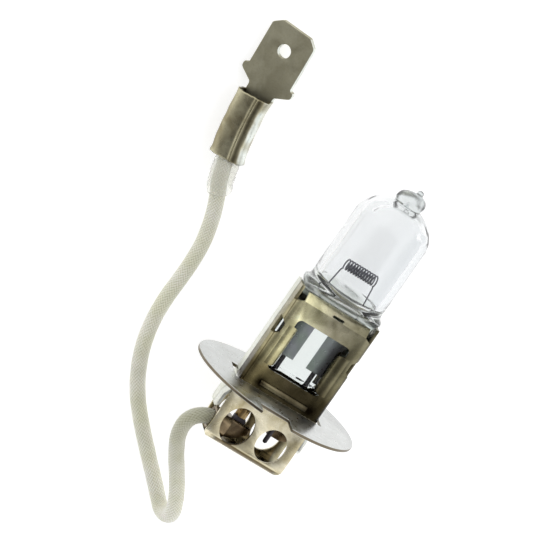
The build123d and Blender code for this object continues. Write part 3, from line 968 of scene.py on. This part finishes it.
def make_glass():
    """The whole envelope: the outer wall and the gas space inside it, as one mesh."""
    data = mesh_from("bulb_envelope", glass_outside(count=128), glass_inside(count=96))
    glass = add_object("bulb_envelope", data, GLASS)
    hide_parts("glass_bulb")


make_glass()


# ---------------------------------------------------------------- filament and its legs
WIRE_RADIUS = 0.095


def make_wire(name, places, node):
    """A round tungsten wire along close points, in millimetres."""
    sides = 12
    line = [Vector(place) * MM for place in places]
    rings = []
    for point, (side, up) in zip(line, travelling_axes(line)):
        rings.append([
            point + (side * math.cos(angle) + up * math.sin(angle)) * WIRE_RADIUS * MM
            for angle in full_turn(sides)
        ])
    wire = add_object(name, mesh_from(name, loft(rings)), TUNGSTEN)
    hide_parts(node)


def make_filament():
    """The coil, wound along X across the lamp's axis."""
    turns, half_length, radius, height = 12, 2.15, 0.65, 18.0
    steps_per_turn = 32
    places = []
    steps = turns * steps_per_turn
    for step in range(steps + 1):
        share = step / steps
        angle = 2 * math.pi * turns * share
        places.append((
            half_length * (2 * share - 1),
            -height + radius * math.cos(angle),
            radius * math.sin(angle),
        ))
    make_wire("filament_coil", places, "filament")


def make_leg(name, side):
    """A leg comes up out of the pinch, leans in, and hooks under the coil's end."""
    bends = [
        (2.15, 10.5), (2.45, 12.4), (2.7, 13.4), (2.62, 14.4), (2.4, 16.2), (2.3, 17.1), (2.22, 17.3),
        (2.12, 17.35),
    ]
    route = [(side * x, -height, 0) for x, height in bends]
    line = spline_points(name, route, 8)
    make_wire(name + "_wire", [point / MM for point in line], name)


make_filament()
make_leg("filament_leg_live", 1)
make_leg("filament_leg_earth", -1)


# ---------------------------------------------------------------- pressed pieces, with softened edges
def cap_inner_shade(point):
    """1 on the cap's inner walls, which get painted shade, and 0 elsewhere."""
    x, y, z = (abs(value) / MM for value in point)
    return 1.0 if x < 5.3 and y < 11.9 and z < 2.3 else 0.0


def cap_bead_highlight(point):
    """1 on the crest of the cap's bead, where the painted highlight goes, falling to 0 at its foot."""
    return ease((abs(point.z) / MM - 2.6) / 0.2)


def strap_inner_shade(point):
    """1 on the base strap's inner walls, which get painted shade, and 0 elsewhere."""
    return 1.0 if point.y < 8.3 * MM and abs(point.z) < 2.3 * MM else 0.0


def soften(node, name, slot, material, width, **attributes):
    """A copy of a CAD piece with its sharp edges rolled over; attributes gives each one's function."""
    data = nodes[node].data.copy()
    shape = bmesh.new()
    shape.from_mesh(data)
    bmesh.ops.remove_doubles(shape, verts=shape.verts, dist=1e-6)
    bmesh.ops.dissolve_limit(
        shape, angle_limit=math.radians(0.5), verts=shape.verts, edges=shape.edges, delimit={"NORMAL"}
    )
    shape.to_mesh(data)
    shape.free()
    data.shade_smooth()
    for attribute, value_at in attributes.items():
        set_attribute(data, attribute, [value_at(vertex.co) for vertex in data.vertices])
    piece = add_object(name, data, material)
    roll_edges(piece, width)
    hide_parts(node)


soften("front_shell", "front_cap_shell", "cap_nickel", CAP, 0.1, inside=cap_inner_shade, bright=cap_bead_highlight)
soften("rear_shell", "rear_cap_shell", "cap_nickel", PALE_LIT_CAP, 0.1, inside=cap_inner_shade)
soften("base_strap", "base_strap_sheet", "cap_nickel", NICKEL, 0.1, inside=strap_inner_shade)
soften("flange_ring", "flange_disc", "flange_steel", FLANGE, 0.08)
soften("earth_tab", "earth_tab_sheet", "cap_nickel", DARK_CRIMP, 0.08)
soften("lead_clamp", "lead_clamp_fold", "crimp_metal", DARK_CRIMP, 0.12)
soften("conductor_crimp", "conductor_crimp_fold", "crimp_metal", DARK_CRIMP, 0.1)
soften("live_ferrule", "live_ferrule_ring", "brass", BRASS, 0.06)


def make_tongue(name, side):
    """The window's side edge, rolled inwards in a quarter round with rounded ends."""
    low, high, thickness = 3.15, 8.65, 0.33
    middle, half = (low + high) / 2, (high - low) / 2
    roll = [(4.4, 2.49), (3.8, 2.8), (2.85, 2.5), (2.85, 1.5)]
    steps, columns = 44, 12
    shortest, shade_start, deepest_shade = 0.3, 0.55, 0.8
    rings, shades = [], []
    for step in range(steps + 1):
        height = middle - half * math.cos(math.pi * step / steps)
        reach = shortest + (1 - shortest) * (1 - ((height - middle) / half) ** 6) ** 0.5
        front, back = [], []
        for column in range(columns + 1):
            t = reach * column / columns
            weights = ((1 - t) ** 3, 3 * t * (1 - t) ** 2, 3 * t * t * (1 - t), t**3)
            x, z = (sum(weight * place[axis] for weight, place in zip(weights, roll)) for axis in (0, 1))
            lean = math.pi / 2 * ease(t)
            front.append(Vector((side * x, -height, z)) * MM)
            behind = (x + thickness * math.sin(lean), z - thickness * math.cos(lean))
            back.append(Vector((side * behind[0], -height, behind[1])) * MM)
            # painted shade, deepening towards the rolled-in edge; the back is in full painted shade
            shades.append(deepest_shade * ease((t - shade_start) / 0.4))
        shades += [1.0] * len(back)
        rings.append(front + back[::-1])
    data = mesh_from(name, loft(rings, flip=side < 0))
    end_shades = [1.0, 1.0]
    set_attribute(data, "inside", shades + end_shades)
    tongue = add_object(name, data, CAP)
    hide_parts("front_shell")


make_tongue("window_tongue_live", 1)
make_tongue("window_tongue_earth", -1)


# ---------------------------------------------------------------- CAD pieces that stay
def paint_nodes():
    """Materials for the CAD pieces whose shape is already right."""
    finishes = {
        "foil_live": FOIL,
        "foil_earth": FOIL,
        "pin_live": LEAD_IN,
        "pin_earth": LEAD_IN,
        "live_strap": LEAD_IN,
        "lead_core": COPPER,
    }
    for name, material in finishes.items():
        for place in nodes[name].material_slots:
            place.material = material


paint_nodes()


# ---------------------------------------------------------------- stage
def make_stage():
    """A white floor under a white dome with a dim patch, which gives the metals a dark reflection."""
    bpy.ops.mesh.primitive_plane_add(size=4, location=(0, 0, FLOOR_Z))
    floor = bpy.context.object
    floor.name = "floor"
    paint, _, shader = new_material("floor_paint", Roughness=0.9, Emission_Strength=0.62)
    shader.inputs["Base Color"].default_value = (0.7, 0.7, 0.7, 1)
    shader.inputs["Emission Color"].default_value = (1, 1, 1, 1)
    floor.data.materials.append(paint)
    world = bpy.data.worlds.new("studio")
    world.use_nodes = True
    tree = world.node_tree
    dim_direction = Vector((0.35, 0.35, 0.87)).normalized()
    place = tree.nodes.new("ShaderNodeTexCoord")
    towards = tree.nodes.new("ShaderNodeVectorMath")
    towards.operation = "DOT_PRODUCT"
    towards.inputs[1].default_value = dim_direction
    tree.links.new(place.outputs["Generated"], towards.inputs[0])
    shade = add_ramp(tree, towards.outputs["Value"], [
        (0.0, (1, 1, 1)), (0.64, (1, 1, 1)), (0.8, (0.37, 0.37, 0.37)), (1.0, (0.17, 0.17, 0.17)),
    ])
    tree.links.new(shade, tree.nodes["Background"].inputs["Color"])
    tree.nodes["Background"].inputs["Strength"].default_value = 1.15
    bpy.context.scene.world = world
    bpy.context.scene.view_settings.view_transform = "Standard"


make_stage()
